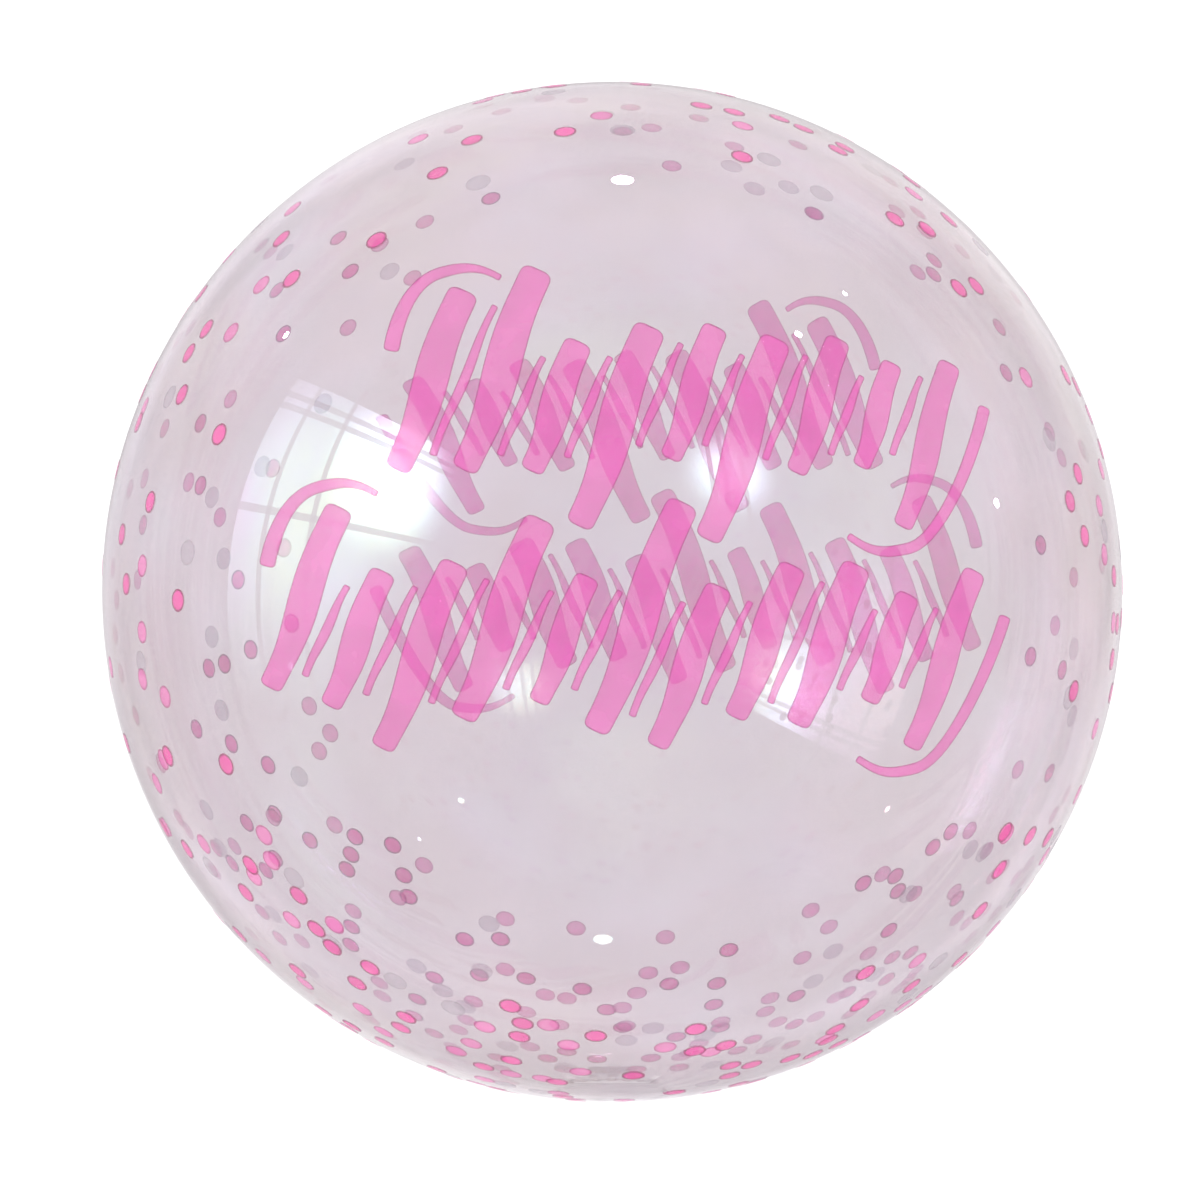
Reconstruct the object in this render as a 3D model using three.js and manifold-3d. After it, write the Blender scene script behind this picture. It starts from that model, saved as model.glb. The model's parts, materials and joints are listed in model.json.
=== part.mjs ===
// Clear bubble balloon: one skin of clear stretch film, heat sealed all round and inflated to a ball. It lies
// on the small flat spot that its weight presses into it, and its flat filling neck is folded out from under
// it along the floor. The skin is sealed, so it is modelled as one solid of the balloon's outer form. Its
// print is ink, which adds no shape.
//
// Millimetres, +Z up. The origin is the centre of the flat spot, on the floor. The printed front faces -Y,
// and the neck points to +Y.

import * as THREE from 'three';
import { mergeVertices } from 'three/addons/utils/BufferGeometryUtils.js';
import Module from 'manifold-3d';

// Driving dimensions
const BALL_DIAMETER = 500;
const FLAT_SPOT_DIAMETER = 56;
const NECK_REACH = 72;
const NECK_WIDTH = 24;
const NECK_ROOT_WIDTH = 46;
const NECK_THICKNESS = 1;
const HEM_LENGTH = 12;
const HEM_THICKNESS = 1.6;
const HEM_CORNER_RADIUS = 4;

// How finely the round forms are faceted
const FACETS_ROUND = 80;
const FACETS_PER_QUARTER = 20;
const FACETS_PER_CURVE = 8;

const BALL_RADIUS = BALL_DIAMETER / 2;
const FLAT_SPOT_RADIUS = FLAT_SPOT_DIAMETER / 2;
const BALL_CENTRE_HEIGHT = Math.sqrt(BALL_RADIUS ** 2 - FLAT_SPOT_RADIUS ** 2);

const wasm = await Module();
wasm.setup();

// A three.js geometry as a closed solid: corners shared, and no triangle folded to a line at a pole.
function solidFrom(geometry) {
  geometry.deleteAttribute('normal');
  geometry.deleteAttribute('uv');
  const merged = mergeVertices(geometry, 1e-4);
  const corners = merged.index.array;
  const triangles = [];
  for (let i = 0; i < corners.length; i += 3) {
    const [a, b, c] = corners.slice(i, i + 3);
    if (a !== b && b !== c && c !== a) triangles.push(a, b, c);
  }
  return new wasm.Manifold(new wasm.Mesh({
    numProp: 3,
    vertProperties: merged.attributes.position.array,
    triVerts: Uint32Array.from(triangles),
  }));
}

function geometryFrom(solid) {
  const { vertProperties, triVerts } = solid.getMesh();
  const geometry = new THREE.BufferGeometry();
  geometry.setAttribute('position', new THREE.BufferAttribute(vertProperties, 3));
  geometry.setIndex(new THREE.BufferAttribute(triVerts, 1));
  geometry.computeVertexNormals();
  return geometry;
}

// The inflated ball, turned about Z. Its profile runs from the middle of the flat spot out to the spot's
// rim, up the meridian through the equator, and back to the axis at the crown.
function inflatedBall() {
  const rimAngle = Math.asin(FLAT_SPOT_RADIUS / BALL_RADIUS);
  const quarters = [
    { from: rimAngle, to: Math.PI / 2 },
    { from: Math.PI / 2, to: Math.PI },
  ];
  const profile = [new THREE.Vector2(0, 0), new THREE.Vector2(FLAT_SPOT_RADIUS, 0)];
  for (const { from, to } of quarters) {
    for (let step = 1; step <= FACETS_PER_QUARTER; step++) {
      const angle = from + (to - from) * step / FACETS_PER_QUARTER;
      const atCrown = step === FACETS_PER_QUARTER && to === Math.PI;
      const radius = atCrown ? 0 : BALL_RADIUS * Math.sin(angle);
      profile.push(new THREE.Vector2(radius, BALL_CENTRE_HEIGHT - BALL_RADIUS * Math.cos(angle)));
    }
  }
  const geometry = new THREE.LatheGeometry(profile, FACETS_ROUND);
  geometry.rotateX(Math.PI / 2);
  return solidFrom(geometry);
}

function plate(outline, thickness) {
  return solidFrom(new THREE.ExtrudeGeometry(outline, {
    depth: thickness,
    bevelEnabled: false,
    curveSegments: FACETS_PER_CURVE,
  }));
}

// The filling neck, pressed flat on the floor: it starts wide inside the flat spot, where the skin gathers
// into it, narrows in one smooth sweep on each side, and runs straight into the hem at its mouth.
function fillingNeck() {
  const halfRoot = NECK_ROOT_WIDTH / 2;
  const halfWidth = NECK_WIDTH / 2;
  const straightFrom = FLAT_SPOT_RADIUS + NECK_WIDTH;
  const bend = (FLAT_SPOT_RADIUS + straightFrom) / 2;
  const end = NECK_REACH - HEM_LENGTH / 2;
  const outline = new THREE.Shape();
  outline.moveTo(-halfRoot, 0);
  outline.lineTo(halfRoot, 0);
  outline.bezierCurveTo(halfRoot, bend, halfWidth, FLAT_SPOT_RADIUS, halfWidth, straightFrom);
  outline.lineTo(halfWidth, end);
  outline.lineTo(-halfWidth, end);
  outline.lineTo(-halfWidth, straightFrom);
  outline.bezierCurveTo(-halfWidth, FLAT_SPOT_RADIUS, -halfRoot, bend, -halfRoot, 0);
  return plate(outline, NECK_THICKNESS);
}

// The hem, where the mouth's film is folded over once and sealed across. Its far corners are round.
function sealedHem() {
  const halfWidth = NECK_WIDTH / 2;
  const start = NECK_REACH - HEM_LENGTH;
  const round = NECK_REACH - HEM_CORNER_RADIUS;
  const inset = halfWidth - HEM_CORNER_RADIUS;
  const outline = new THREE.Shape();
  outline.moveTo(-halfWidth, start);
  outline.lineTo(halfWidth, start);
  outline.lineTo(halfWidth, round);
  outline.quadraticCurveTo(halfWidth, NECK_REACH, inset, NECK_REACH);
  outline.lineTo(-inset, NECK_REACH);
  outline.quadraticCurveTo(-halfWidth, NECK_REACH, -halfWidth, round);
  return plate(outline, HEM_THICKNESS);
}

const clearFilm = new THREE.MeshStandardMaterial({
  name: 'clear_film',
  color: 0xddd2da,
  roughness: 0.08,
  metalness: 0,
  transparent: true,
  opacity: 0.3,
});

const skin = inflatedBall().add(fillingNeck()).add(sealedHem());
const envelope = new THREE.Mesh(geometryFrom(skin), clearFilm);
envelope.name = 'envelope';

const balloon = new THREE.Group();
balloon.name = 'clear_bubble_balloon';
balloon.add(envelope);

export default balloon;
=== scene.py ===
"""Clear bubble balloon: a ball of clear stretch film, printed with pink brush strokes and confetti dots.

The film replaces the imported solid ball. It is a hollow skin with a true wall, a flat spot to lie on, and a
flat filling neck folded out behind. The print is thin ink on the outside of the film.
"""

import json
import logging
import math
import random
from dataclasses import dataclass
from enum import Enum

import bpy
from mathutils import Matrix, Vector
from mathutils.geometry import interpolate_bezier

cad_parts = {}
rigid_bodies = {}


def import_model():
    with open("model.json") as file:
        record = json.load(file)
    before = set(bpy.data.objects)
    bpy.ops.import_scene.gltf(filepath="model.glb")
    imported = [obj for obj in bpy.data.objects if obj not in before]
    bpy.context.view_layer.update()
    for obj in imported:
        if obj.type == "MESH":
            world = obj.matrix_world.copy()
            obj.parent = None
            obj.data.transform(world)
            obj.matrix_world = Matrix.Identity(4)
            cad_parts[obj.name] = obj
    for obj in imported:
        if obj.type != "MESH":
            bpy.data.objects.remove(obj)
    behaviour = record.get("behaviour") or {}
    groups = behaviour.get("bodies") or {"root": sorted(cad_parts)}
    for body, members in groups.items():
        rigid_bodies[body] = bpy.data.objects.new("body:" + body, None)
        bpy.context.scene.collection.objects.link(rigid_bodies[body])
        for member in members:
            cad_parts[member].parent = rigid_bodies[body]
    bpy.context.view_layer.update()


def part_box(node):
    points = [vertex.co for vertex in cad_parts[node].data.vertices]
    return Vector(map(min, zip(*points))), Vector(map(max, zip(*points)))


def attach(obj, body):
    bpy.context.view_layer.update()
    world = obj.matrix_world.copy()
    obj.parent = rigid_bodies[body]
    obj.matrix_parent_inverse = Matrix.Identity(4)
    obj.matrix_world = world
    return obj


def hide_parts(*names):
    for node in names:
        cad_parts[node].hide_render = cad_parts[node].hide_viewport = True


LOG = logging.getLogger("balloon")
MM = 0.001
BODY = "root"
NODE = "envelope"


# --------------------------------------------------------------------------------------------------------
# Small helpers around Blender's operators
# --------------------------------------------------------------------------------------------------------


def deselect_all() -> None:
    """Leaves nothing selected and no object active."""
    for obj in bpy.context.view_layer.objects:
        obj.select_set(False)
    bpy.context.view_layer.objects.active = None


def make_active(obj: bpy.types.Object) -> None:
    """Selects this object alone and makes it active."""
    deselect_all()
    obj.select_set(True)
    bpy.context.view_layer.objects.active = obj


def edit_faces(obj: bpy.types.Object) -> None:
    """Opens this object in edit mode with everything selected, ready for face operators."""
    make_active(obj)
    bpy.ops.object.mode_set(mode="EDIT")
    bpy.ops.mesh.select_mode(type="FACE")
    bpy.ops.mesh.select_all(action="SELECT")


def leave_edit() -> None:
    """Goes back to object mode."""
    bpy.ops.object.mode_set(mode="OBJECT")


def new_piece(name: str) -> bpy.types.Object:
    """Names the primitive that was just added.

    Args:
        name: the piece's name, for the object and its mesh.

    Returns:
        The new object.
    """
    obj = bpy.context.active_object
    obj.name = name
    obj.data.name = name
    return obj


def settle(obj: bpy.types.Object) -> None:
    """Moves an object's place, turn and scale into its mesh."""
    make_active(obj)
    bpy.ops.object.transform_apply(location=True, rotation=True, scale=True)


def apply_modifiers(obj: bpy.types.Object) -> None:
    """Applies every modifier on this object, first to last."""
    make_active(obj)
    for name in [modifier.name for modifier in obj.modifiers]:
        bpy.ops.object.modifier_apply(modifier=name)


def smooth(obj: bpy.types.Object, below: float) -> None:
    """Shades an object smooth, except at edges sharper than this many degrees."""
    make_active(obj)
    bpy.ops.object.shade_smooth_by_angle(angle=math.radians(below))


def join(pieces: list[bpy.types.Object], name: str) -> bpy.types.Object:
    """Joins several objects into one.

    Args:
        pieces: the objects, which end as one mesh.
        name: the joined piece's name.

    Returns:
        The joined object.
    """
    deselect_all()
    for piece in pieces:
        piece.select_set(True)
    bpy.context.view_layer.objects.active = pieces[0]
    bpy.ops.object.join()
    return new_piece(name)


def direction(azimuth: float, elevation: float) -> Vector:
    """The unit vector at this azimuth, in degrees to the right of -Y, and this elevation in degrees."""
    turn, rise = math.radians(azimuth), math.radians(elevation)
    return Vector((math.sin(turn) * math.cos(rise), -math.cos(turn) * math.cos(rise), math.sin(rise)))


# --------------------------------------------------------------------------------------------------------
# The frame's own measures
# --------------------------------------------------------------------------------------------------------


@dataclass(frozen=True)
class Ball:
    """The inflated ball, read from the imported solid: its middle, its radius and its flat spot."""

    centre: Vector
    radius: float
    flat_radius: float

    @classmethod
    def from_node(cls, node: str) -> "Ball":
        """Works the ball out from a node's box.

        Args:
            node: the CAD node that is the ball.

        Returns:
            The ball's measures in metres.
        """
        low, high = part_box(node)
        radius = (high[0] - low[0]) / 2
        centre = Vector(((low[0] + high[0]) / 2, 0.0, high[2] - radius))
        return cls(centre, radius, math.sqrt(radius**2 - (centre.z - low[2]) ** 2))


@dataclass(frozen=True)
class Layers:
    """How far under the ball's full radius the film and each coat of ink lie."""

    film: float = 0.30 * MM
    pearl: float = 0.26 * MM
    soft: float = 0.18 * MM
    strokes: float = 0.10 * MM
    coat: float = 0.05 * MM


LAYERS = Layers()

# How far the front and the back print are turned about the upright axis, in degrees.
PANEL_TURNS = (4.5, 171.0)

# Edges of ink sharper than this many degrees stay sharp.
INK_SMOOTH_BELOW = 40.0

# How finely every full ball is faceted, so that film and print lie alike.
MERIDIANS = 256
PARALLELS = 128


# --------------------------------------------------------------------------------------------------------
# Finishes
# --------------------------------------------------------------------------------------------------------


class NodeSheet:
    """The node tree of a material or a world, with short ways to add and join nodes."""

    def __init__(self, owner: bpy.types.ID, output: str = "ShaderNodeOutputMaterial") -> None:
        """Empties the owner's node tree, but for a new output.

        Args:
            owner: the new material or world.
            output: the type name of its output node.
        """
        self.owner = owner
        owner.use_nodes = True
        self.tree = owner.node_tree
        self.tree.nodes.clear()
        self.output = self.add(output)

    def add(self, kind: str, **values: object) -> bpy.types.Node:
        """Adds a node.

        Args:
            kind: the node's type name.
            values: plain values, by property name or by input name with _ for a space.

        Returns:
            The new node.
        """
        node = self.tree.nodes.new(kind)
        for key, value in values.items():
            if hasattr(node, key):
                setattr(node, key, value)
            else:
                node.inputs[key.replace("_", " ")].default_value = value
        return node

    def link(self, source: bpy.types.NodeSocket, target: bpy.types.NodeSocket) -> None:
        """Joins an output to an input."""
        self.tree.links.new(source, target)

    def show(self, shader: bpy.types.NodeSocket) -> None:
        """Makes this shader the surface."""
        self.link(shader, self.output.inputs["Surface"])

    def coordinates(self, kind: str) -> bpy.types.NodeSocket:
        """Adds texture coordinates of this kind and returns them."""
        return self.add("ShaderNodeTexCoord").outputs[kind]

    def parts(self, vector: bpy.types.NodeSocket) -> bpy.types.bpy_prop_collection:
        """Splits a vector and returns its outputs X, Y and Z."""
        node = self.add("ShaderNodeSeparateXYZ")
        self.link(vector, node.inputs["Vector"])
        return node.outputs

    def noise(self, scale: float, detail: float = 2.0, kind: str = "Object") -> bpy.types.NodeSocket:
        """Adds noise on coordinates of this kind and returns its factor."""
        node = self.add("ShaderNodeTexNoise", Scale=scale, Detail=detail)
        self.link(self.coordinates(kind), node.inputs["Vector"])
        return node.outputs["Fac"]

    def distance(self, place: bpy.types.NodeSocket, point: tuple) -> bpy.types.NodeSocket:
        """Adds how far a place is from a fixed point and returns it."""
        node = self.add("ShaderNodeVectorMath", operation="DISTANCE")
        self.link(place, node.inputs[0])
        node.inputs[1].default_value = point
        return node.outputs["Value"]

    def calculate(self, operation: str, *terms: float | bpy.types.NodeSocket) -> bpy.types.NodeSocket:
        """Adds a calculation.

        Args:
            operation: the Math node's operation.
            terms: its inputs in order, each a number or another node's output.

        Returns:
            The result.
        """
        node = self.add("ShaderNodeMath", operation=operation)
        for term, place in zip(terms, node.inputs):
            if isinstance(term, bpy.types.NodeSocket):
                self.link(term, place)
            else:
                place.default_value = term
        return node.outputs["Value"]

    def remap(self, factor: bpy.types.NodeSocket, **values: object) -> bpy.types.NodeSocket:
        """Moves a factor from one range to another.

        Args:
            factor: what is moved.
            values: plain values for the Map Range node.

        Returns:
            The result.
        """
        node = self.add("ShaderNodeMapRange", **values)
        self.link(factor, node.inputs["Value"])
        return node.outputs["Result"]

    def ramp(
        self, factor: bpy.types.NodeSocket, low: float, high: float, first: tuple, last: tuple
    ) -> bpy.types.NodeSocket:
        """Turns a factor into a blend of two colours.

        Args:
            factor: what drives the blend.
            low: the factor at which the first colour ends.
            high: the factor at which the last colour starts.
            first: the first colour, red, green and blue.
            last: the last colour.

        Returns:
            The colour.
        """
        node = self.add("ShaderNodeValToRGB")
        for stop, position, colour in zip(node.color_ramp.elements, (low, high), (first, last)):
            stop.position = position
            stop.color = (*colour, 1.0)
        self.link(factor, node.inputs["Fac"])
        return node.outputs["Color"]

    def mix(
        self, factor: bpy.types.NodeSocket, first: bpy.types.NodeSocket, second: bpy.types.NodeSocket
    ) -> bpy.types.NodeSocket:
        """Adds a mix of two shaders, all the second where the factor is 1, and returns it."""
        node = self.add("ShaderNodeMixShader")
        for source, target in zip((factor, first, second), node.inputs):
            self.link(source, target)
        return node.outputs["Shader"]

    def mirrored(self) -> bpy.types.NodeSocket:
        """A factor that is 1 for light that has come off a glossy surface, and 0 for all other light."""
        path = self.add("ShaderNodeLightPath")
        return self.calculate("MINIMUM", path.outputs["Glossy Depth"], 1.0)


@dataclass(frozen=True)
class ClearFilm:
    """Clear stretch film: see-through, glossy, faintly lilac, with a pale rainbow in its gloss.

    Lamp light and the light on the print go straight through it, because film this thin hardly bends them.
    The rainbow is the span of its thickness in nanometres.
    """

    name: str = "clear_film"
    tint: tuple = (0.757, 0.715, 0.742)
    ior: float = 1.45
    stretch_marks: float = 9.0
    stretch_detail: float = 4.0
    haze: tuple = (0.0, 0.012)
    rainbow: tuple = (250.0, 520.0)
    rainbow_ior: float = 1.6
    ripple: float = 0.02
    ripple_height: float = 0.4 * MM

    def build(self) -> bpy.types.Material:
        """Makes the film's material and returns it."""
        sheet = NodeSheet(bpy.data.materials.new(self.name))
        shader = sheet.add(
            "ShaderNodeBsdfPrincipled",
            Base_Color=(*self.tint, 1.0),
            IOR=self.ior,
            Transmission_Weight=1.0,
            Thin_Film_IOR=self.rainbow_ior,
        )
        marks = sheet.noise(self.stretch_marks, self.stretch_detail)
        for target, (least, most) in (("Roughness", self.haze), ("Thin Film Thickness", self.rainbow)):
            sheet.link(sheet.remap(marks, To_Min=least, To_Max=most), shader.inputs[target])
        ripple = sheet.add("ShaderNodeBump", Strength=self.ripple, Distance=self.ripple_height)
        sheet.link(marks, ripple.inputs["Height"])
        sheet.link(ripple.outputs["Normal"], shader.inputs["Normal"])
        path = sheet.add("ShaderNodeLightPath")
        passing = sheet.calculate("MAXIMUM", path.outputs["Is Shadow Ray"], path.outputs["Is Diffuse Ray"])
        clear = sheet.add("ShaderNodeBsdfTransparent")
        sheet.show(sheet.mix(passing, shader.outputs["BSDF"], clear.outputs["BSDF"]))
        return sheet.owner


@dataclass(frozen=True)
class Ink:
    """One ink of the print: its colour, the darker colour of its rim, and how much each face covers."""

    name: str
    colour: tuple
    rim: tuple
    cover: float


class Tone(Enum):
    """The inks of the print.

    Each has a paler one for the film's side, which is what shows through the balloon on its far wall. It is
    painted light: brighter than the ink itself, to make up for the light that the film takes away. The back
    print's outside is paler too, because it is mostly seen that way: painted light in the same way. The
    pearl ink's outside is dark grey, painted shade, while its film's side is pale.
    """

    STROKE = Ink("pink_ink", (0.70, 0.12, 0.43), (0.42, 0.04, 0.23), 0.44)
    # Painted light: the _BEHIND inks and the far stroke are brighter copies of the plain inks.
    STROKE_BEHIND = Ink("pink_ink_behind", (0.98, 0.07, 0.62), (0.62, 0.03, 0.32), 0.36)
    FAR_STROKE = Ink("pink_ink_far", (0.98, 0.10, 0.60), (0.62, 0.03, 0.32), 0.36)
    DOT = Ink("deep_pink_ink", (0.84, 0.07, 0.38), (0.34, 0.02, 0.13), 0.50)
    DOT_BEHIND = Ink("deep_pink_ink_behind", (0.98, 0.12, 0.56), (0.50, 0.03, 0.22), 0.42)
    SOFT_DOT = Ink("soft_pink_ink", (0.86, 0.16, 0.48), (0.50, 0.05, 0.24), 0.38)
    SOFT_DOT_BEHIND = Ink("soft_pink_ink_behind", (0.98, 0.24, 0.66), (0.60, 0.08, 0.34), 0.34)
    # Painted shade: the pearl ink's outside is dark grey. Its film's side is pale, painted light.
    PEARL = Ink("pearl_ink", (0.30, 0.24, 0.29), (0.26, 0.20, 0.25), 0.22)
    PEARL_BEHIND = Ink("pearl_ink_behind", (0.74, 0.66, 0.74), (0.60, 0.54, 0.60), 0.26)


@dataclass(frozen=True)
class PrintInk:
    """Translucent ink, laid on thin, a little uneven, and darker along its edge.

    A dot's rim is drawn by its UV map, in which the dot is a circle about the middle of the square.
    """

    tone: Tone
    roughness: float = 0.22
    unevenness: float = 60.0
    uneven_between: tuple[float, float] = (0.35, 0.65)
    shades: tuple[float, float] = (0.93, 1.06)
    dot_middle: tuple[float, float, float] = (0.5, 0.5, 0.0)
    rim_from: float = 0.385
    rim_full: float = 0.425

    def build(self, edge: bool = False, dotted: bool = False) -> bpy.types.Material:
        """Makes this ink's material.

        Args:
            edge: True for the darker line of ink round a stroke.
            dotted: True where the rim is drawn by the piece's own UV map, as on a round dot.

        Returns:
            The material.
        """
        ink = self.tone.value
        sheet = NodeSheet(bpy.data.materials.new(ink.name + ("_edge" if edge else "")))
        colour = ink.rim if edge else ink.colour
        darker, lighter = [tuple(min(1.0, channel * shade) for channel in colour) for shade in self.shades]
        paint = sheet.ramp(sheet.noise(self.unevenness), *self.uneven_between, darker, lighter)
        if dotted:
            away = sheet.distance(sheet.coordinates("UV"), self.dot_middle)
            band = sheet.remap(away, From_Min=self.rim_from, From_Max=self.rim_full)
            rim = sheet.add("ShaderNodeMix", data_type="RGBA")
            rim.inputs["B"].default_value = (*ink.rim, 1.0)
            sheet.link(band, rim.inputs["Factor"])
            sheet.link(paint, rim.inputs["A"])
            paint = rim.outputs["Result"]
        shader = sheet.add("ShaderNodeBsdfPrincipled", Roughness=self.roughness, Alpha=ink.cover)
        sheet.link(paint, shader.inputs["Base Color"])
        sheet.show(shader.outputs["BSDF"])
        return sheet.owner


# --------------------------------------------------------------------------------------------------------
# The film
# --------------------------------------------------------------------------------------------------------


@dataclass
class Envelope:
    """The clear film: a hollow ball with a flat spot, gathers round its foot, and a flat filling neck."""

    ball: Ball
    film: ClearFilm = ClearFilm()
    neck_film: ClearFilm = ClearFilm(name="neck_film", tint=(0.93, 0.91, 0.92))
    wall: float = 0.10 * MM
    flat_lift: float = 0.3 * MM
    gathers: int = 26
    gather_depth: float = 0.7 * MM
    gather_reach: float = 95 * MM
    neck_reach: float = 72 * MM
    neck_width: float = 24 * MM
    neck_root_width: float = 46 * MM
    neck_thickness: float = 1.0 * MM
    neck_loops: int = 72
    hem_length: float = 12 * MM
    hem_rise: float = 0.6 * MM
    hem_corner: float = 4 * MM
    rib_depth: float = 0.25 * MM
    rib_pitch: float = 4 * MM
    level_from: float = 0.9
    smooth_below: float = 35.0

    def build(self) -> bpy.types.Object:
        """Builds the hollow film and returns it, dressed and placed."""
        skin = self._inflated_skin()
        self._gather_foot(skin)
        neck = self._filling_neck()
        self._fuse(skin, neck)
        self._give_wall(skin)
        self._dress(skin)
        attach(skin, BODY)
        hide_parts(NODE)
        return skin

    def _inflated_skin(self) -> bpy.types.Object:
        """Adds a ball and cuts it flat just above the floor, closed by the flat spot."""
        bpy.ops.mesh.primitive_uv_sphere_add(
            segments=MERIDIANS,
            ring_count=PARALLELS,
            radius=self.ball.radius - LAYERS.film,
            location=self.ball.centre,
        )
        skin = new_piece("clear_film_ball")
        settle(skin)
        edit_faces(skin)
        bpy.ops.mesh.bisect(
            plane_co=(0, 0, self.flat_lift), plane_no=(0, 0, 1), use_fill=True, clear_inner=True
        )
        leave_edit()
        return skin

    def _gather_foot(self, skin: bpy.types.Object) -> None:
        """Presses shallow gathers into the film where it draws in to the neck.

        Args:
            skin: the ball, still without a wall.
        """
        for vertex in skin.data.vertices:
            across = math.hypot(vertex.co.x, vertex.co.y)
            if vertex.co.z > self.ball.centre.z or not self.ball.flat_radius < across < self.gather_reach:
                continue
            turn = math.atan2(vertex.co.y, vertex.co.x)
            fade = (self.gather_reach - across) / (self.gather_reach - self.ball.flat_radius)
            dip = self.gather_depth * fade**2 * (0.5 - 0.5 * math.cos(self.gathers * turn))
            inward = (self.ball.centre - vertex.co).normalized()
            vertex.co += inward * dip

    def _neck_half_width(self, along: float) -> float:
        """Half the neck's width at this distance from the foot's middle."""
        start, end = self.ball.flat_radius, self.ball.flat_radius + self.neck_width
        share = min(max((along - start) / (end - start), 0.0), 1.0)
        eased = share * share * (3 - 2 * share)
        half = (self.neck_root_width + (self.neck_width - self.neck_root_width) * eased) / 2
        past = max(along - (self.neck_reach - self.hem_corner), 0.0)
        return half - self.hem_corner + math.sqrt(self.hem_corner**2 - past**2)

    def _filling_neck(self) -> bpy.types.Object:
        """Shapes the flat sleeve of the neck from a block, with its hem and pressed ribs."""
        bpy.ops.mesh.primitive_cube_add(size=1, location=(0, self.neck_reach / 2, self.neck_thickness / 2))
        neck = new_piece("filling_neck")
        neck.scale = (1, self.neck_reach, self.neck_thickness)
        settle(neck)
        edit_faces(neck)
        for loop in range(1, self.neck_loops):
            bpy.ops.mesh.select_all(action="SELECT")
            along = self.neck_reach * loop / self.neck_loops
            bpy.ops.mesh.bisect(plane_co=(0, along, 0), plane_no=(0, 1, 0))
        leave_edit()
        for vertex in neck.data.vertices:
            vertex.co.x = math.copysign(self._neck_half_width(vertex.co.y), vertex.co.x)
        hem_start = self.neck_reach - self.hem_length
        self._raise_top(neck, hem_start, self.neck_reach, self.hem_rise)
        for rib in range(1, round(self.hem_length / self.rib_pitch)):
            middle = hem_start + self.rib_pitch * rib
            half = self.rib_pitch / 4
            self._raise_top(neck, middle - half, middle + half, -self.rib_depth)
        return neck

    def _raise_top(self, neck: bpy.types.Object, start: float, end: float, rise: float) -> None:
        """Extrudes the highest faces between two places along the neck.

        Args:
            neck: the sleeve being shaped.
            start: where the raised band starts, along the neck.
            end: where it ends.
            rise: how far it is raised, or pressed in where it is negative.
        """
        edit_faces(neck)
        bpy.ops.mesh.select_all(action="DESELECT")
        leave_edit()
        for face in neck.data.polygons:
            inside = start < face.center.y < end
            on_top = face.normal.z > self.level_from and face.center.z > self.neck_thickness / 2
            face.select = inside and on_top
        bpy.ops.object.mode_set(mode="EDIT")
        bpy.ops.mesh.extrude_region_move(TRANSFORM_OT_translate={"value": (0, 0, rise)})
        leave_edit()

    def _fuse(self, skin: bpy.types.Object, neck: bpy.types.Object) -> None:
        """Joins the neck to the ball, so that their insides are one."""
        union = skin.modifiers.new("neck", "BOOLEAN")
        union.operation = "UNION"
        union.solver = "EXACT"
        union.object = neck
        apply_modifiers(skin)
        bpy.data.objects.remove(neck)

    def _give_wall(self, skin: bpy.types.Object) -> None:
        """Hollows the form to a film of true thickness and smooths its shading."""
        wall = skin.modifiers.new("wall", "SOLIDIFY")
        wall.thickness = self.wall
        wall.offset = -1
        apply_modifiers(skin)
        smooth(skin, self.smooth_below)

    def _dress(self, skin: bpy.types.Object) -> None:
        """Gives the form its film. The flat neck, two walls close together, has a thinner tint."""
        skin.data.materials.clear()
        for film in (self.film, self.neck_film):
            skin.data.materials.append(film.build())
        for face in skin.data.polygons:
            beyond = face.center.y > self.ball.flat_radius and abs(face.center.x) < self.neck_root_width / 2
            low = face.center.z < self.neck_thickness + 2 * self.hem_rise
            face.material_index = 1 if beyond and low else 0


# --------------------------------------------------------------------------------------------------------
# The print
# --------------------------------------------------------------------------------------------------------


@dataclass(frozen=True)
class BrushRow:
    """One row of leaning brush strokes, in millimetres from the middle of the print.

    The heavy strokes stand side by side from left to right, and each is given by how far it rises above the
    row's middle line, how far it drops below it, and its share of the full weight. A fine stroke stands in
    every gap between them. An arc runs over the row's start, and one under its end. No stroke meets another.
    """

    left: float
    right: float
    middle: float
    slope: float
    strokes: tuple[tuple[float, float, float], ...]


UPPER_ROW = BrushRow(
    left=-98,
    right=127,
    middle=88,
    slope=-0.07,
    strokes=(
        (41, 30, 1.00),
        (52, 28, 1.04),
        (22, 27, 0.92),
        (30, 48, 1.06),
        (33, 18, 0.86),
        (29, 50, 1.06),
        (32, 20, 0.88),
        (24, 16, 0.76),
        (26, 40, 0.86),
    ),
)
LOWER_ROW = BrushRow(
    left=-153,
    right=134,
    middle=-8,
    slope=-0.05,
    strokes=(
        (41, 32, 0.92),
        (15, 38, 0.86),
        (20, 54, 0.96),
        (40, 38, 1.06),
        (18, 30, 0.82),
        (50, 40, 1.06),
        (16, 46, 0.92),
        (26, 32, 0.96),
        (27, 34, 1.04),
        (16, 24, 0.86),
        (27, 44, 0.88),
    ),
)


@dataclass(frozen=True)
class Arc:
    """A thin arc beside a row.

    Each of its three stops is how far right and up it is from an end of a stroke, in millimetres, and its
    share of the full weight. Each pull is the curve's direction and reach at a stop.
    """

    stops: tuple[tuple[float, float, float], ...]
    pulls: tuple[tuple[float, float], ...]


ARC_OVER = Arc(
    stops=((-30, -20, 0.46), (-9, 12.35, 0.34), (17, 10.35, 0.20)),
    pulls=((3, 15), (11, 3.5), (8, -5)),
)
ARC_UNDER = Arc(
    stops=((-26, -7.35, 0.22), (2, -12.35, 0.34), (27, 8, 0.42)),
    pulls=((9, -6), (14, 3), (9, 24)),
)


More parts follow.
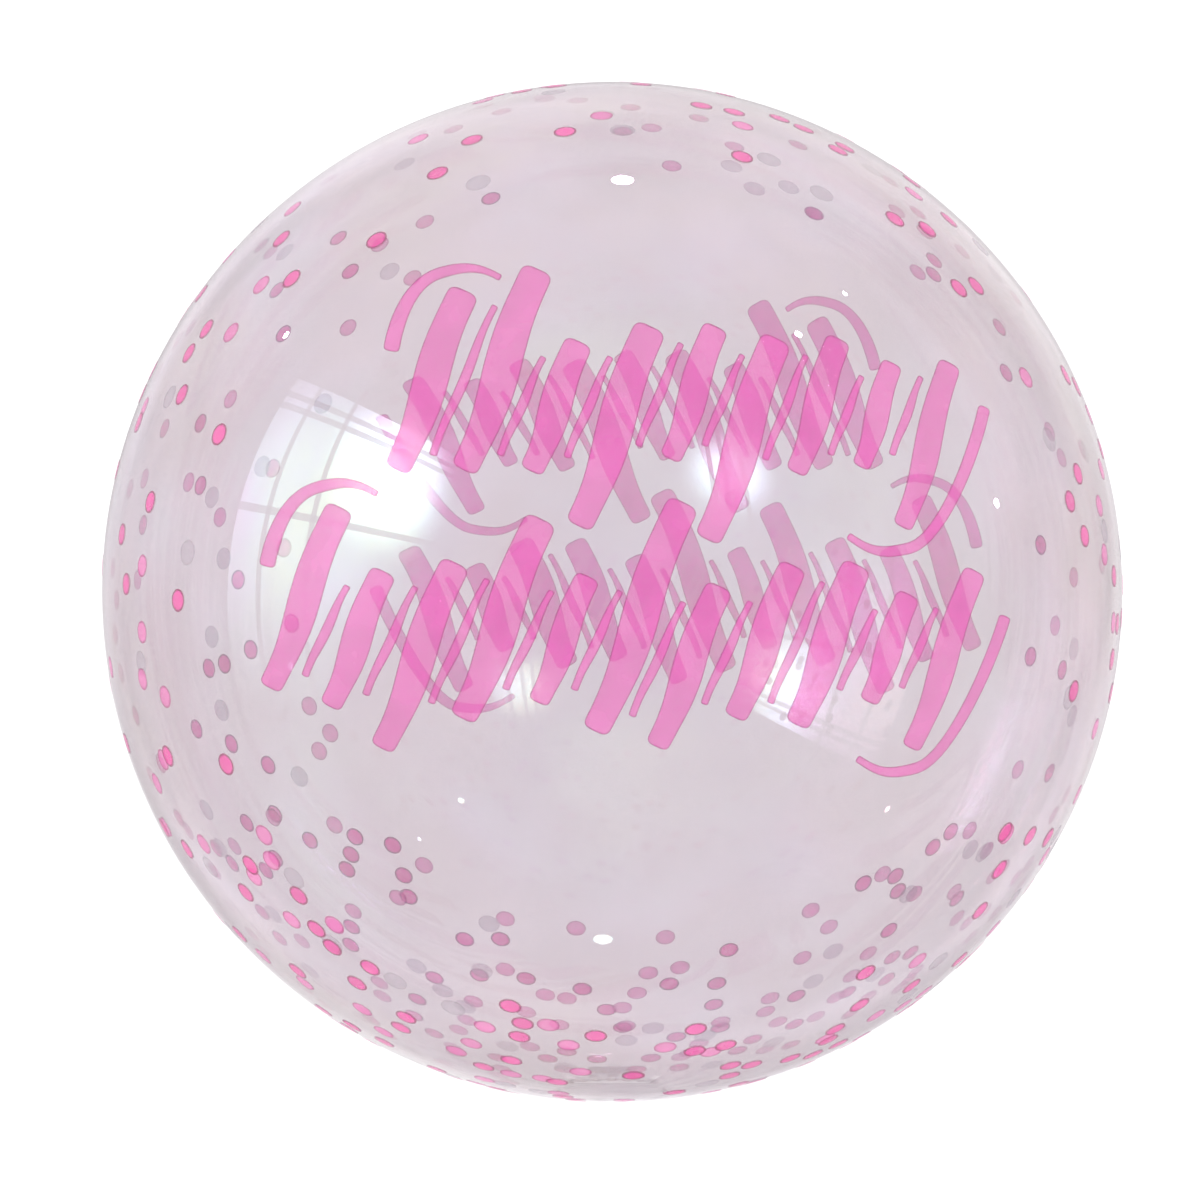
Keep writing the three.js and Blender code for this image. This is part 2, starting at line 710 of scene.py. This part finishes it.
@dataclass
class BrushPrint:
    """Two rows of brush strokes, front and back, in translucent ink.

    Lengths but the rim's are in millimetres. A taper is the share of a stroke's weight at its start, middle
    and end. Pull, swing and sway are shares of a stroke's length that bend its middle line.
    """

    ball: Ball
    rows: tuple[BrushRow, ...] = (UPPER_ROW, LOWER_ROW)
    weight: float = 15.5
    taper: tuple[float, float, float] = (0.88, 1.0, 0.74)
    lean: float = 0.38
    pull: float = 0.20
    sway: float = 0.02
    fine_weight: float = 0.25
    fine_taper: tuple[float, float, float] = (0.9, 1.2, 0.8)
    fine_slant: float = 1.6
    fine_pull: float = 0.22
    fine_swing: float = 0.10
    clearance: float = 3.6
    cap: float = 0.75
    cap_angles: tuple[float, ...] = (75, 60, 45, 30, 15)
    squareness: float = 0.65
    rim: float = 0.55 * MM
    weld: float = 0.001 * MM
    steps: int = 14
    turns: tuple[float, float] = PANEL_TURNS

    def build(self) -> list[bpy.types.Object]:
        """Builds the front and the back print and returns them."""
        front = self._print_front(self._inks(Tone.STROKE) + self._inks(Tone.STROKE_BEHIND))
        back = front.copy()
        back.data = front.data.copy()
        back.name = back.data.name = "brush_print_back"
        # The back print takes the brighter far ink: painted light.
        for index, ink in enumerate(self._inks(Tone.FAR_STROKE)):
            back.data.materials[index] = ink
        bpy.context.scene.collection.objects.link(back)
        for piece, turn in zip((front, back), self.turns):
            piece.data.transform(Matrix.Rotation(math.radians(turn), 4, "Z"))
            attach(piece, BODY)
        return [front, back]

    def _inks(self, tone: Tone) -> list[bpy.types.Material]:
        """Makes the ink of this tone and that of its rim."""
        ink = PrintInk(tone)
        return [ink.build(), ink.build(edge=True)]

    def _print_front(self, slots: list[bpy.types.Material]) -> bpy.types.Object:
        """Draws every stroke flat, wraps them on the film and gives the ink its thickness.

        Args:
            slots: the ink and its rim as seen from outside, then as seen from the film's side.

        Returns:
            The front print as one piece.
        """
        ribbons = [self._ribbon(path, slots) for row in self.rows for path in self.paths(row)]
        sheet = join(ribbons, "brush_print_front")
        sheet.data.transform(Matrix.Rotation(math.radians(90), 4, "X"))
        sheet.data.transform(Matrix.Translation((0, -self.ball.radius * 1.1, self.ball.centre.z)))
        wrap_on_ball(sheet, self.ball, self.ball.radius - LAYERS.strokes)
        thicken(sheet)
        for face in sheet.data.polygons:
            if face.normal.dot(face.center - self.ball.centre) < 0:
                face.material_index += len(slots) // 2
        return sheet

    def paths(self, row: BrushRow) -> list[list[tuple[Vector, float]]]:
        """Draws the middle line of every stroke in a row.

        Args:
            row: the row of strokes.

        Returns:
            For each stroke, points and half widths in millimetres.
        """
        last = len(row.strokes) - 1
        places = []
        for index in range(last + 1):
            across = row.left + (row.right - row.left) * index / last
            places.append(Vector((across, row.middle + row.slope * across, 0)))
        tops, feet = [], []
        for place, (rise, drop, _) in zip(places, row.strokes):
            tops.append(place + Vector((self.lean * rise, rise, 0)))
            feet.append(place - Vector((self.lean * drop, drop, 0)))
        marks = list(zip(tops, feet))
        lines = [self._heavy(*mark, share) for mark, (_, _, share) in zip(marks, row.strokes)]
        lines += [self._fine(*pair) for pair in zip(marks, marks[1:])]
        lines.append(self._arc(ARC_OVER, (tops[0], tops[0], tops[0])))
        lines.append(self._arc(ARC_UNDER, (feet[-1], feet[-1], places[-1])))
        return lines

    def _heavy(self, top: Vector, foot: Vector, share: float) -> list[tuple[Vector, float]]:
        """Draws a heavy stroke, pressed hardest in its middle, that sways steeper towards both ends.

        Args:
            top: its upper end.
            foot: its lower end.
            share: its share of the full weight.

        Returns:
            Points and half widths, in millimetres.
        """
        along = foot - top
        sway = Vector((along.y, -along.x, 0)) * self.sway
        pull = along * self.pull
        places = (top, (top + foot) / 2, foot)
        stops = [(place, part * share) for place, part in zip(places, self.taper)]
        return self._sample(stops, [pull + sway, pull - sway, pull + sway])

    def _fine(
        self, first: tuple[Vector, Vector], second: tuple[Vector, Vector]
    ) -> list[tuple[Vector, float]]:
        """Draws the fine stroke in the gap between two heavy ones, a little more slanted than they are.

        Args:
            first: the top and the foot of the heavy stroke before it.
            second: the top and the foot of the heavy stroke after it.

        Returns:
            Points and half widths, in millimetres.
        """
        high = min(first[0].y, second[0].y) - self.clearance
        low = max(first[1].y, second[1].y) + self.clearance
        ends = []
        for level, slant in ((low, -self.fine_slant), (high, self.fine_slant)):
            sides = [foot.lerp(top, (level - foot.y) / (top.y - foot.y)) for top, foot in (first, second)]
            ends.append((sides[0] + sides[1]) / 2 + Vector((slant, 0, 0)))
        low_end, high_end = ends
        rise = (high_end - low_end) * self.fine_pull
        swing = Vector((rise.y, -rise.x, 0)) * self.fine_swing
        places = (low_end, (low_end + high_end) / 2, high_end)
        stops = [(place, part * self.fine_weight) for place, part in zip(places, self.fine_taper)]
        return self._sample(stops, [rise - swing, rise, rise + swing])

    def _arc(self, arc: Arc, ends: tuple[Vector, ...]) -> list[tuple[Vector, float]]:
        """Draws the arc over a row's start or under its end.

        Args:
            arc: its form.
            ends: the place from which each of its stops is measured.

        Returns:
            Points and half widths, in millimetres.
        """
        stops = [(end + Vector((right, up, 0)), share) for end, (right, up, share) in zip(ends, arc.stops)]
        return self._sample(stops, [Vector((*pull, 0)) for pull in arc.pulls])

    def _sample(
        self, stops: list[tuple[Vector, float]], pulls: list[Vector]
    ) -> list[tuple[Vector, float]]:
        """Runs a smooth curve through the stops and rounds both ends of the brush mark.

        Args:
            stops: places on the middle line, each with its share of the full weight.
            pulls: the curve's direction and reach at each stop.

        Returns:
            Points and half widths, in millimetres.
        """
        points, halves = [], []
        for index in range(len(stops) - 1):
            (start, first), (end, last) = stops[index : index + 2]
            curve = interpolate_bezier(
                start, start + pulls[index], end - pulls[index + 1], end, self.steps + 1
            )
            for step, point in enumerate(curve[: None if index == len(stops) - 2 else -1]):
                share = step / self.steps
                eased = share * share * (3 - 2 * share)
                points.append(point)
                halves.append((first + (last - first) * eased) * self.weight / 2)
        return self._round_ends(points, halves)

    def _round_ends(self, points: list[Vector], halves: list[float]) -> list[tuple[Vector, float]]:
        """Adds a round cap of shrinking widths beyond each end of a middle line."""
        caps = []
        for end, before in ((0, 1), (-1, -2)):
            outward = (points[end] - points[before]).normalized()
            cap = []
            for angle in self.cap_angles:
                turn = math.radians(angle)
                out, across = (part(turn) ** self.squareness for part in (math.sin, math.cos))
                cap.append((points[end] + outward * halves[end] * self.cap * out, halves[end] * across))
            caps.append(cap)
        return caps[0] + list(zip(points, halves)) + caps[1][::-1]

    def _ribbon(
        self, path: list[tuple[Vector, float]], slots: list[bpy.types.Material]
    ) -> bpy.types.Object:
        """Makes a flat ribbon of changing width from a middle line, with a rim along its edge.

        Args:
            path: points and half widths, in millimetres.
            slots: the inks, with the rim's second.

        Returns:
            A flat mesh in the floor's plane.
        """
        bpy.ops.curve.primitive_bezier_curve_add()
        ribbon = new_piece("brush_stroke")
        line = ribbon.data
        line.splines.clear()
        line.dimensions = "3D"
        line.twist_mode = "Z_UP"
        line.bevel_mode = "OBJECT"
        line.bevel_object = nib()
        spline = line.splines.new("POLY")
        spline.points.add(len(path) - 1)
        for point, (place, half) in zip(spline.points, path):
            point.co = (place.x * MM, place.y * MM, 0, 1)
            point.radius = half * MM
        make_active(ribbon)
        bpy.ops.object.convert(target="MESH")
        edit_faces(ribbon)
        bpy.ops.mesh.remove_doubles(threshold=self.weld)
        bpy.ops.mesh.normals_make_consistent(inside=False)
        bpy.ops.mesh.inset(thickness=self.rim, use_boundary=True, use_even_offset=True)
        leave_edit()
        for material in slots:
            ribbon.data.materials.append(material)
        for face in ribbon.data.polygons:
            face.material_index = 0 if face.select else 1
        if sum(face.normal.z * face.area for face in ribbon.data.polygons) < 0:
            ribbon.data.flip_normals()
        return ribbon


def nib() -> bpy.types.Object:
    """The brush's nib: a flat line of half width 1 that the strokes are swept with."""
    existing = bpy.data.objects.get("nib")
    if existing:
        return existing
    line = bpy.data.curves.new("nib", "CURVE")
    line.dimensions = "2D"
    spline = line.splines.new("POLY")
    spline.points.add(2)
    for point, across in zip(spline.points, (-1, 0, 1)):
        point.co = (across, 0, 0, 1)
    return bpy.data.objects.new("nib", line)


def wrap_on_ball(piece: bpy.types.Object, ball: Ball, radius: float) -> None:
    """Lays a flat print that stands in front of the ball straight back onto it.

    Args:
        piece: the flat print, facing -Y.
        ball: the balloon's measures.
        radius: how far from the ball's middle the print lies.
    """
    bpy.ops.mesh.primitive_uv_sphere_add(
        segments=MERIDIANS, ring_count=PARALLELS, radius=radius, location=ball.centre
    )
    former = new_piece("former")
    settle(former)
    wrap = piece.modifiers.new("wrap", "SHRINKWRAP")
    wrap.wrap_method = "PROJECT"
    wrap.use_project_x = wrap.use_project_z = False
    wrap.use_project_y = True
    wrap.use_positive_direction = True
    wrap.use_negative_direction = False
    wrap.target = former
    apply_modifiers(piece)
    bpy.data.objects.remove(former)


def thicken(piece: bpy.types.Object) -> None:
    """Gives a sheet of ink its thickness, outwards from the film, and smooth shading."""
    build_up = piece.modifiers.new("coat", "SOLIDIFY")
    build_up.thickness = LAYERS.coat
    build_up.offset = 1
    apply_modifiers(piece)
    smooth(piece, INK_SMOOTH_BELOW)


@dataclass(frozen=True)
class DotBatch:
    """Dots of one ink: the piece's name, its two faces, how many, how large, how deep and their slot."""

    name: str
    outer: Tone
    inner: Tone
    count: int
    radius: float
    depth: float
    slot: str = "pink_ink"


@dataclass
class ConfettiPrint:
    """Round dots of ink scattered over the film, thick round the foot and clear of the brush strokes.

    What is clear and how thick they lie is given in shares of the ball's radius.
    """

    ball: Ball
    seed: int = 11
    batches: tuple[DotBatch, ...] = (
        DotBatch("pink_dots", Tone.DOT, Tone.DOT_BEHIND, 260, 5.3 * MM, LAYERS.strokes),
        DotBatch("soft_pink_dots", Tone.SOFT_DOT, Tone.SOFT_DOT_BEHIND, 190, 5.3 * MM, LAYERS.soft),
        DotBatch("pearl_dots", Tone.PEARL, Tone.PEARL_BEHIND, 90, 5.9 * MM, LAYERS.pearl, "pearl_ink"),
    )
    corners: int = 24
    gap: float = 0.6 * MM
    turns: tuple[float, float] = PANEL_TURNS
    clear_width: float = 0.80
    clear_height: float = 0.78
    clear_middle: float = 0.03
    clear_foot: float = 0.985
    sparse: float = 0.30
    thicker_below: float = 0.35
    thicker_over: float = 0.4
    tries: int = 60000

    def build(self) -> list[bpy.types.Object]:
        """Builds the dots of each ink and returns one piece for each."""
        draw = random.Random(self.seed)
        return [self._dots(batch, self._scatter(draw, batch)) for batch in self.batches]

    def _wanted(self, way: Vector) -> float:
        """How likely a dot is to be printed here, from 0 to 1.

        Args:
            way: the direction from the ball's middle.

        Returns:
            The likelihood.
        """
        for turn in self.turns:
            facing, aside = direction(turn, 0), direction(turn + 90, 0)
            across = way.dot(aside) / self.clear_width
            upright = (way.z - self.clear_middle) / self.clear_height
            if way.dot(facing) > 0 and across**2 + upright**2 < 1:
                return 0.0
        low = min(max((-way.z - self.thicker_below) / self.thicker_over, 0.0), 1.0)
        return self.sparse + (1 - self.sparse) * low

    def _scatter(self, draw: random.Random, batch: DotBatch) -> list[Vector]:
        """Picks places for one ink's dots that keep clear of each other.

        Args:
            draw: the seeded source of random numbers.
            batch: which dots to place.

        Returns:
            Directions from the ball's middle.
        """
        least = (2 * batch.radius + self.gap) / self.ball.radius
        ways: list[Vector] = []
        for _ in range(self.tries):
            if len(ways) == batch.count:
                break
            height, turn = draw.uniform(-1, 1), draw.uniform(0, 2 * math.pi)
            level = math.sqrt(1 - height**2)
            way = Vector((level * math.cos(turn), level * math.sin(turn), height))
            if draw.random() > self._wanted(way) or height < -self.clear_foot:
                continue
            if all((way - other).length > least for other in ways):
                ways.append(way)
        return ways

    def _dots(self, batch: DotBatch, ways: list[Vector]) -> bpy.types.Object:
        """Models one dot on the crown and prints it in every direction.

        Args:
            batch: the ink and size of the dots.
            ways: the directions from the ball's middle.

        Returns:
            All these dots as one piece.
        """
        bpy.ops.mesh.primitive_circle_add(
            vertices=self.corners,
            radius=batch.radius,
            fill_type="TRIFAN",
            location=(0, 0, self.ball.centre.z + self.ball.radius),
        )
        dot = new_piece("dot")
        settle(dot)
        reach = self.ball.radius - batch.depth
        for vertex in dot.data.vertices:
            vertex.co = self.ball.centre + (vertex.co - self.ball.centre).normalized() * reach
        thicken(dot)
        # The inner ink is a brighter copy of the outer one: painted light. The pearl's dark outside is
        # painted shade.
        for tone in (batch.outer, batch.inner):
            dot.data.materials.append(PrintInk(tone).build(dotted=True))
        for face in dot.data.polygons:
            face.material_index = 1 if face.normal.z < 0 else 0
        to_middle = Matrix.Translation(-self.ball.centre)
        from_middle = Matrix.Translation(self.ball.centre)
        copies = []
        for way in ways:
            copy = bpy.data.objects.new(batch.name, dot.data.copy())
            turn = Vector((0, 0, 1)).rotation_difference(way).to_matrix().to_4x4()
            copy.data.transform(from_middle @ turn @ to_middle)
            bpy.context.scene.collection.objects.link(copy)
            copies.append(copy)
        bpy.data.objects.remove(dot)
        piece = join(copies, batch.name)
        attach(piece, BODY)
        return piece


# --------------------------------------------------------------------------------------------------------
# The studio
# --------------------------------------------------------------------------------------------------------


@dataclass(frozen=True)
class Pool:
    """A round pool of light on a wall: where its middle is, its radius, and its strength there."""

    middle: tuple[float, float]
    radius: float
    strength: float


@dataclass(frozen=True)
class GlowWall:
    """A see-through wall of soft light that stands beside the balloon and shows only in its gloss.

    It stands upright and faces the balloon. Its sizes are in metres from the point nearest the balloon's
    middle: how far it reaches to its left, right, foot and top, and where its pools and dark bars are.
    """

    name: str
    azimuth: float
    distance: float
    sides: tuple[float, float]
    levels: tuple[float, float]
    pools: tuple[Pool, Pool]
    posts: tuple[float, ...] = ()
    rails: tuple[float, ...] = ()
    bar: float = 0.036
    bar_light: float = 0.25


@dataclass(frozen=True)
class Downlight:
    """A small round lamp that shows only in the balloon's gloss."""

    azimuth: float
    elevation: float
    radius: float
    distance: float = 2.0
    brightness: float = 60.0
    corners: int = 32


@dataclass
class Studio:
    """A plain white floor, an even white surround, soft lights in the gloss, and the camera."""

    ball: Ball
    lens: float = 116.7
    camera_distance: float = 1.92
    camera_elevation: float = 2.0
    framing: tuple = (-5.9 * MM, 0.0, -3.9 * MM)
    floor_radius: float = 6.0
    floor_drop: float = 0.1 * MM
    floor_fade: tuple[float, float] = (0.5, 1.6)
    floor_share: float = 0.24
    floor_colour: tuple = (0.97, 0.97, 0.97)
    surround: float = 1.24
    gloss_scale: float = 2.2
    gloss_stops: tuple[float, float] = (0.35, 0.68)
    gloss_tones: tuple = ((0.73, 0.70, 0.72), (1.22, 1.20, 1.23))
    paler_above: float = 0.09
    transparent_layers: int = 32
    film_bounces: int = 12
    walls: tuple[GlowWall, ...] = (
        GlowWall(
            "window_left",
            azimuth=-75,
            distance=1.5,
            sides=(-0.28, 2.10),
            levels=(-0.50, 1.04),
            pools=(Pool((0.76, 0.74), 0.62, 11.0), Pool((0.26, 0.45), 1.15, 2.6)),
            posts=(-0.04, 0.28),
            rails=(0.36, 0.87, 0.94),
        ),
        GlowWall(
            "window_right",
            azimuth=18,
            distance=1.9,
            sides=(-0.40, 0.90),
            levels=(0.30, 1.50),
            pools=(Pool((0.26, 0.92), 0.42, 7.0), Pool((0.26, 0.90), 0.60, 0.8)),
            posts=(0.12, 0.22, 0.36),
        ),
    )
    downlights: tuple[Downlight, ...] = (
        Downlight(170, 81.5, 0.055),
        Downlight(-101, 37.5, 0.022),
        Downlight(91, 13, 0.026),
        Downlight(85, 52, 0.016),
        Downlight(58, 50, 0.024),
    )

    def build(self) -> None:
        """Sets up everything around the balloon."""
        cycles = bpy.context.scene.cycles
        cycles.transparent_max_bounces = self.transparent_layers
        cycles.glossy_bounces = cycles.transmission_bounces = self.film_bounces
        cycles.max_bounces = 2 * self.film_bounces
        cycles.caustics_reflective = cycles.caustics_refractive = False
        self._camera()
        self._surround()
        self._floor()
        for wall in self.walls:
            self._glow_wall(wall)
        for number, lamp in enumerate(self.downlights):
            self._downlight(f"downlight_{number}", lamp)

    def _camera(self) -> None:
        """Places the camera level with the balloon, looking slightly down at its front."""
        camera = bpy.data.objects.new("camera", bpy.data.cameras.new("camera"))
        camera.data.lens = self.lens
        way = direction(0, self.camera_elevation)
        camera.location = self.ball.centre + way * self.camera_distance
        target = self.ball.centre + Vector(self.framing)
        camera.rotation_euler = (target - camera.location).to_track_quat("-Z", "Y").to_euler()
        bpy.context.scene.collection.objects.link(camera)
        bpy.context.scene.camera = camera

    def _surround(self) -> None:
        """Fills the studio with even white light. What gloss mirrors is a softly uneven room, paler above."""
        world = bpy.data.worlds.new("studio")
        world.cycles.sampling_method = "NONE"
        sheet = NodeSheet(world, "ShaderNodeOutputWorld")
        white = sheet.add("ShaderNodeBackground", Color=(1, 1, 1, 1), Strength=self.surround)
        room = sheet.add("ShaderNodeBackground")
        height = sheet.parts(sheet.coordinates("Generated"))["Z"]
        unevenness = sheet.noise(self.gloss_scale, kind="Generated")
        tone = sheet.calculate("MULTIPLY_ADD", height, self.paler_above, unevenness)
        sheet.link(sheet.ramp(tone, *self.gloss_stops, *self.gloss_tones), room.inputs["Color"])
        sheet.show(sheet.mix(sheet.mirrored(), white.outputs["Background"], room.outputs["Background"]))
        bpy.context.scene.world = world
        bpy.context.scene.view_settings.view_transform = "Standard"

    def _floor(self) -> None:
        """Lays a faint matt floor that fades into the surround. As one triangle, it has no inner edges."""
        bpy.ops.mesh.primitive_circle_add(
            vertices=3, radius=self.floor_radius, fill_type="NGON", location=(0, 0, -self.floor_drop)
        )
        floor = new_piece("floor")
        sheet = NodeSheet(bpy.data.materials.new("floor_paint"))
        paint = sheet.add("ShaderNodeBsdfDiffuse", Color=(*self.floor_colour, 1.0))
        clear = sheet.add("ShaderNodeBsdfTransparent")
        fade = sheet.remap(
            sheet.distance(sheet.coordinates("Object"), (0, 0, 0)),
            interpolation_type="SMOOTHSTEP",
            From_Min=self.floor_fade[0],
            From_Max=self.floor_fade[1],
            To_Min=1 - self.floor_share,
        )
        sheet.show(sheet.mix(fade, paint.outputs["BSDF"], clear.outputs["BSDF"]))
        floor.data.materials.append(sheet.owner)
        floor.visible_glossy = False

    def _stand(self, lamp: bpy.types.Object, way: Vector, distance: float) -> None:
        """Turns a lamp's panel, modelled in the floor's plane, towards the balloon and puts it in place."""
        lamp.location = self.ball.centre + way * distance
        lamp.rotation_euler = way.to_track_quat("Z", "Y").to_euler()
        lamp.visible_camera = lamp.visible_diffuse = lamp.visible_shadow = False

    def _glow_wall(self, wall: GlowWall) -> None:
        """Stands one wall of light beside the balloon, with its posts and rails left dark."""
        bpy.ops.mesh.primitive_plane_add(size=1)
        panel = new_piece(wall.name)
        for vertex in panel.data.vertices:
            vertex.co.x = wall.sides[0] if vertex.co.x < 0 else wall.sides[1]
            vertex.co.y = wall.levels[0] if vertex.co.y < 0 else wall.levels[1]
        sheet = NodeSheet(bpy.data.materials.new(wall.name))
        place = sheet.coordinates("Object")
        falls = []
        for pool in wall.pools:
            away = sheet.distance(place, (*pool.middle, 0))
            span = {"From_Max": pool.radius, "To_Min": pool.strength, "To_Max": 0.0}
            falls.append(sheet.remap(away, interpolation_type="SMOOTHERSTEP", **span))
        strength = sheet.calculate("ADD", *falls)
        parts = sheet.parts(place)
        bars = [("X", post) for post in wall.posts] + [("Y", rail) for rail in wall.rails]
        for axis, middle in bars:
            band = sheet.calculate("COMPARE", parts[axis], middle, wall.bar / 2)
            kept = sheet.remap(band, To_Min=1.0, To_Max=wall.bar_light)
            strength = sheet.calculate("MULTIPLY", strength, kept)
        self._light_up(panel, sheet, strength)
        turn = math.radians(wall.azimuth)
        self._stand(panel, Vector((math.sin(turn), -math.cos(turn), 0)), wall.distance)

    def _downlight(self, name: str, lamp: Downlight) -> None:
        """Hangs one small round lamp, facing the balloon."""
        bpy.ops.mesh.primitive_circle_add(vertices=lamp.corners, radius=lamp.radius, fill_type="NGON")
        disc = new_piece(name)
        self._light_up(disc, NodeSheet(bpy.data.materials.new(name)), lamp.brightness)
        self._stand(disc, direction(lamp.azimuth, lamp.elevation), lamp.distance)

    def _light_up(
        self, lamp: bpy.types.Object, sheet: NodeSheet, strength: float | bpy.types.NodeSocket
    ) -> None:
        """Gives a lamp see-through light of this strength that only what mirrors it can see."""
        glow = sheet.add("ShaderNodeEmission")
        clear = sheet.add("ShaderNodeBsdfTransparent")
        both = sheet.add("ShaderNodeAddShader")
        sheet.link(sheet.calculate("MULTIPLY", strength, sheet.mirrored()), glow.inputs["Strength"])
        sheet.link(glow.outputs["Emission"], both.inputs[0])
        sheet.link(clear.outputs["BSDF"], both.inputs[1])
        sheet.show(both.outputs["Shader"])
        sheet.owner.cycles.emission_sampling = "NONE"
        lamp.data.materials.append(sheet.owner)


def main() -> None:
    """Builds the studio and the balloon piece by piece."""
    logging.basicConfig(level=logging.INFO, format="%(name)s: %(message)s")
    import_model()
    ball = Ball.from_node(NODE)
    Studio(ball).build()
    LOG.info("studio ready")
    film = Envelope(ball).build()
    LOG.info("%s: %d faces", film.name, len(film.data.polygons))
    for piece in BrushPrint(ball).build() + ConfettiPrint(ball).build():
        LOG.info("%s: %d faces", piece.name, len(piece.data.polygons))


if __name__ == "__main__":
    main()
